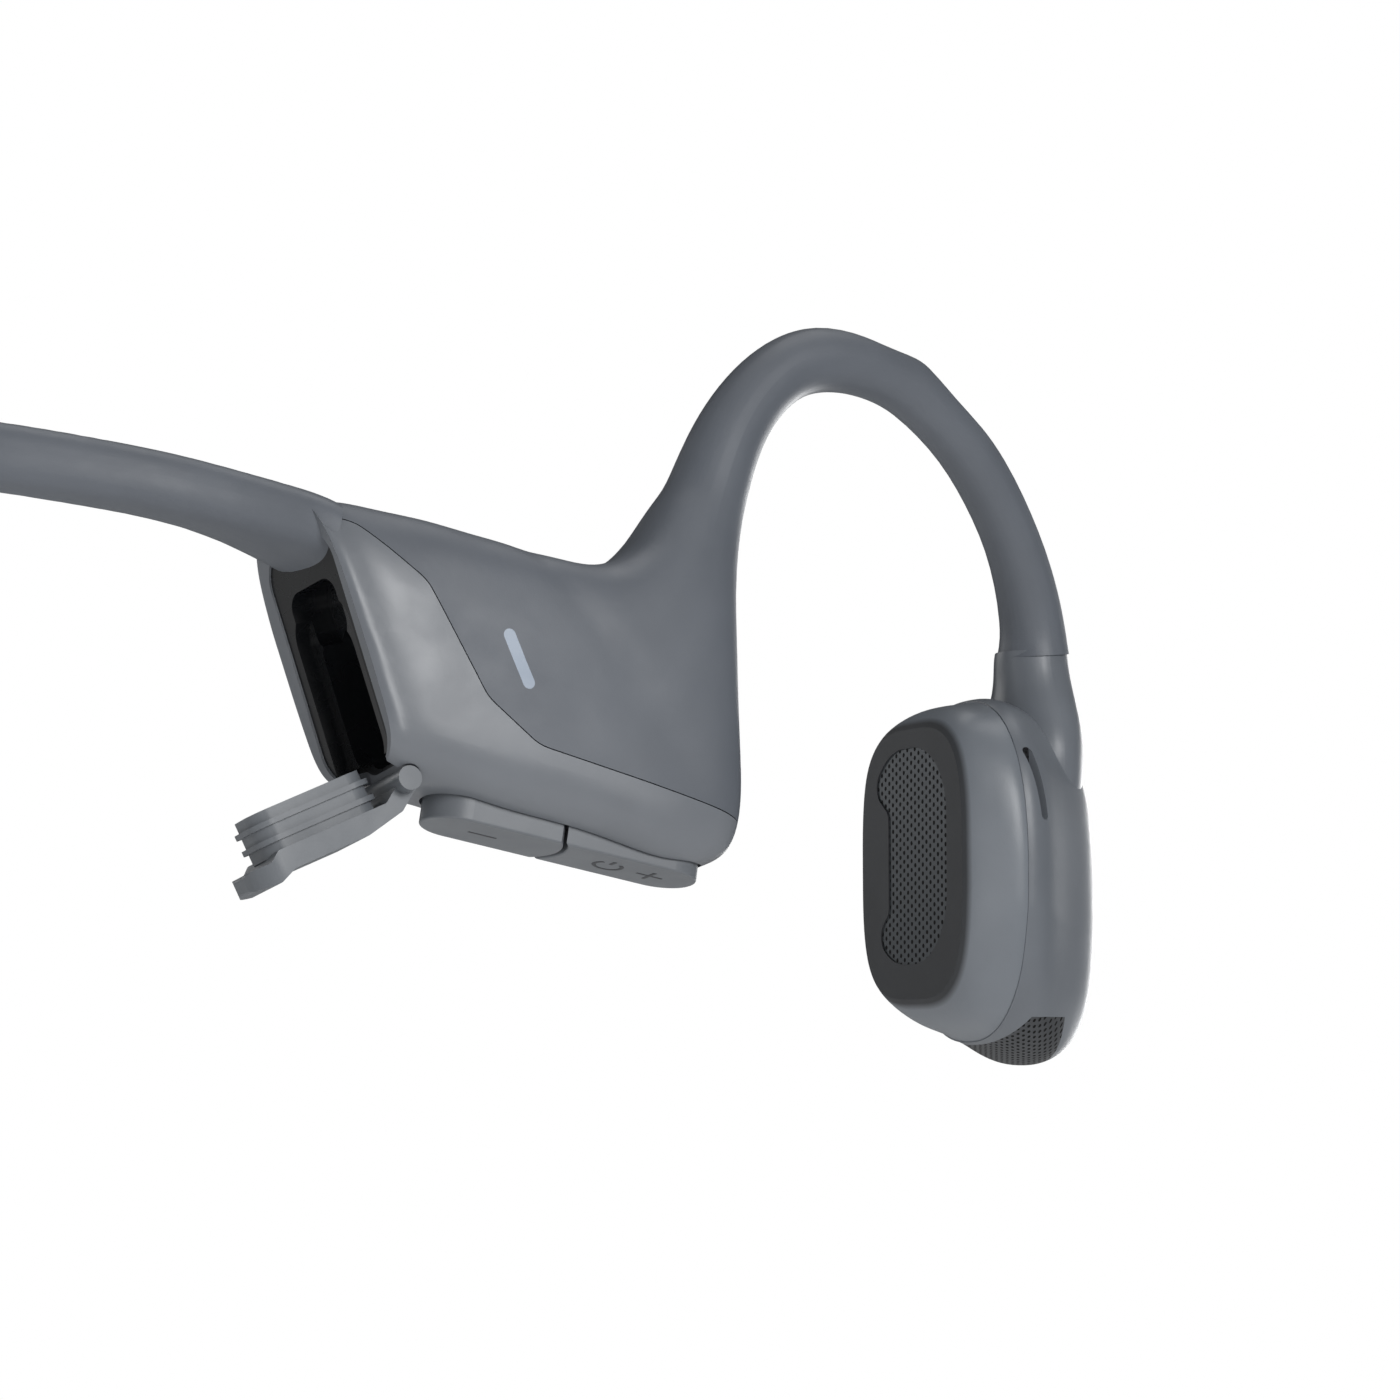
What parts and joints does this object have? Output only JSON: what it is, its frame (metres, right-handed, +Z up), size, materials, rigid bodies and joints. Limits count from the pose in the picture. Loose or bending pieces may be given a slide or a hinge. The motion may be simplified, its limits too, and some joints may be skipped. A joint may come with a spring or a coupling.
{
  "type": "bone conduction headphones",
  "caption": "Open-ear bone conduction headphones: headband behind the head, ear hooks with control boxes, cheekbone pods, hinged charging flap and press buttons.",
  "frame": {"origin": "middle of the space for the head, on the plane of symmetry, level with the lowest point of the pods", "axes": "+Z up, the wearer faces -Y, the wearer's right side is at -X"},
  "size_m": [0.15, 0.1191, 0.0541],
  "materials": {
    "soft_shell": "soft-touch silicone overmould, matte slate grey",
    "hard_cover": "smooth moulded plastic, satin grey",
    "dark_face": "black moulded plastic, semi-gloss",
    "flap_rubber": "light grey silicone, satin",
    "button_rubber": "grey silicone, satin",
    "pad_silicone": "silicone pad, matte dark grey",
    "pod_plastic": "satin grey plastic",
    "black_mesh": "fine black woven mesh",
    "spring_wire": "spring wire, drawn",
    "socket_metal": "stamped stainless steel",
    "tongue_plastic": "black plastic with contacts",
    "circuit_board": "solder-masked board",
    "switch_body": "black tactile switch",
    "battery_pouch": "foil pouch",
    "light_pipe": "translucent light pipe",
    "driver_steel": "plated steel",
    "magnet": "nickel-plated magnet",
    "coil_copper": "enamelled copper winding"
  },
  "bodies": {
    "headset": {"air_driver_left": "driver_steel", "air_driver_right": "driver_steel", "arm_housing_left": "soft_shell", "arm_housing_right": "soft_shell", "battery_board_left": "circuit_board", "battery_cell_left": "battery_pouch", "battery_cover_left": "hard_cover", "control_cover_right": "hard_cover", "driver_coil_left": "coil_copper", "driver_coil_right": "coil_copper", "driver_magnet_left": "magnet", "driver_magnet_right": "magnet", "driver_spring_left": "driver_steel", "driver_spring_right": "driver_steel", "driver_yoke_left": "driver_steel", "driver_yoke_right": "driver_steel", "headband_sleeve": "soft_shell", "headband_wire": "spring_wire", "hook_wire_left": "spring_wire", "hook_wire_right": "spring_wire", "main_board": "circuit_board", "microphone_right": "switch_body", "multifunction_switch_left": "switch_body", "outlet_mesh_left": "black_mesh", "outlet_mesh_right": "black_mesh", "pad_grille_left": "black_mesh", "pad_grille_right": "black_mesh", "pod_cover_left": "pad_silicone", "pod_cover_right": "pad_silicone", "pod_shell_left": "pod_plastic", "pod_shell_right": "pod_plastic", "port_bezel": "dark_face", "status_light": "light_pipe", "switch_board": "circuit_board", "usb_c_shell": "socket_metal", "usb_c_tongue": "tongue_plastic", "vent_mesh_right": "black_mesh", "volume_down_switch": "switch_body", "volume_up_switch": "switch_body"},
    "flap": {"port_flap": "flap_rubber"},
    "volume_down": {"volume_down_button": "button_rubber"},
    "volume_up": {"volume_up_button": "button_rubber"},
    "multifunction": {"multifunction_button_left": "pod_plastic"}
  },
  "joints": [
    {"name": "flap_hinge", "type": "hinge", "parent": "headset", "child": "flap", "pos_m": [-0.05702, 0.00557, 0.0015], "axis": [-0.9135, 0.4067, 0], "range_deg": [-98, 20]},
    {"name": "volume_down_press", "type": "slide", "parent": "headset", "child": "volume_down", "axis": [0.0284, 0.0637, 0.9976], "range_m": [0, 0.0003], "stiffness_N_per_m": 1000, "springref_m": -0.0003},
    {"name": "volume_up_press", "type": "slide", "parent": "headset", "child": "volume_up", "axis": [0.0284, 0.0637, 0.9976], "range_m": [0, 0.0003], "stiffness_N_per_m": 1000, "springref_m": -0.0003},
    {"name": "multifunction_press", "type": "slide", "parent": "headset", "child": "multifunction", "axis": [-0.9912, 0.13, -0.0248], "range_m": [0, 0.0003], "stiffness_N_per_m": 1000, "springref_m": -0.0003}
  ]
}
